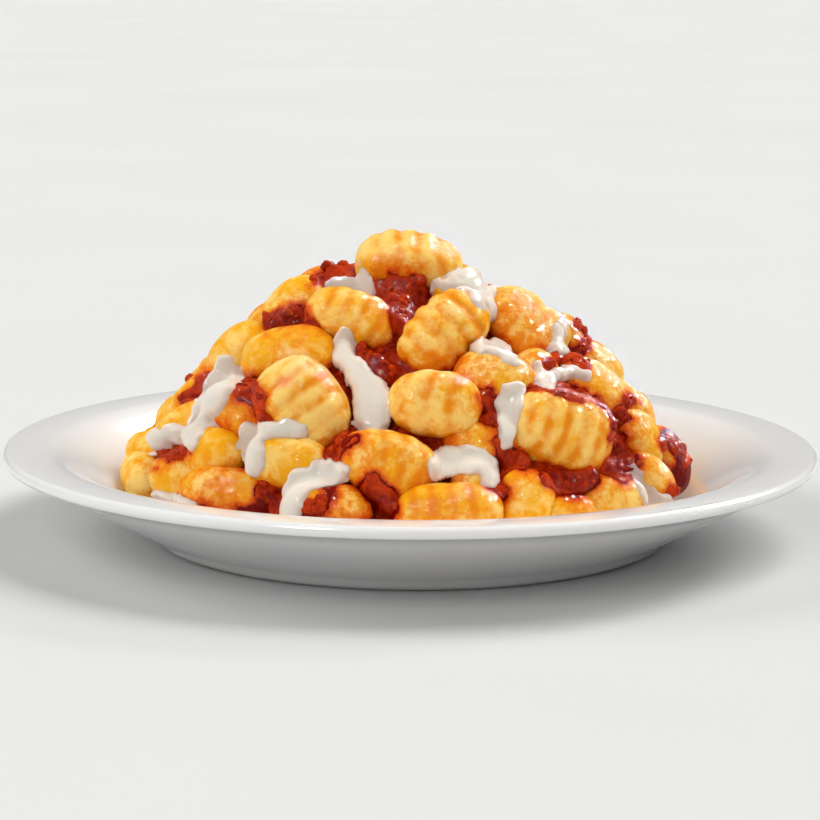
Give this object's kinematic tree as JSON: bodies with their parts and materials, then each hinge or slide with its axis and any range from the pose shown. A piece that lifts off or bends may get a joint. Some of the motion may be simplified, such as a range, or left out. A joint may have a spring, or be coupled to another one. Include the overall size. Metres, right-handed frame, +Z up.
{
  "type": "potato gnocchi on a plate",
  "caption": "Heap of ridged potato gnocchi in chunky tomato sauce with ribbons of cream, piled high on a round white dinner plate.",
  "frame": {"origin": "centre of the plate's foot, on the table", "axes": "+Z up out of the plate; -Y faces the front of the heap; +X to the right seen from the front"},
  "size_m": [0.26, 0.26, 0.0973],
  "materials": {
    "porcelain": "white glazed porcelain, smooth and glossy",
    "gnocchi": "moist boiled potato dough, golden yellow, ridged, stained by sauce, with an oily sheen",
    "tomato_sauce": "chunky cooked tomato pulp, deep red, wet and glossy",
    "cream_sauce": "thick off-white cream, opaque, smooth and wet"
  },
  "bodies": {
    "root": {"plate": "porcelain", "gnocchi_heap": "gnocchi"}
  },
  "joints": []
}
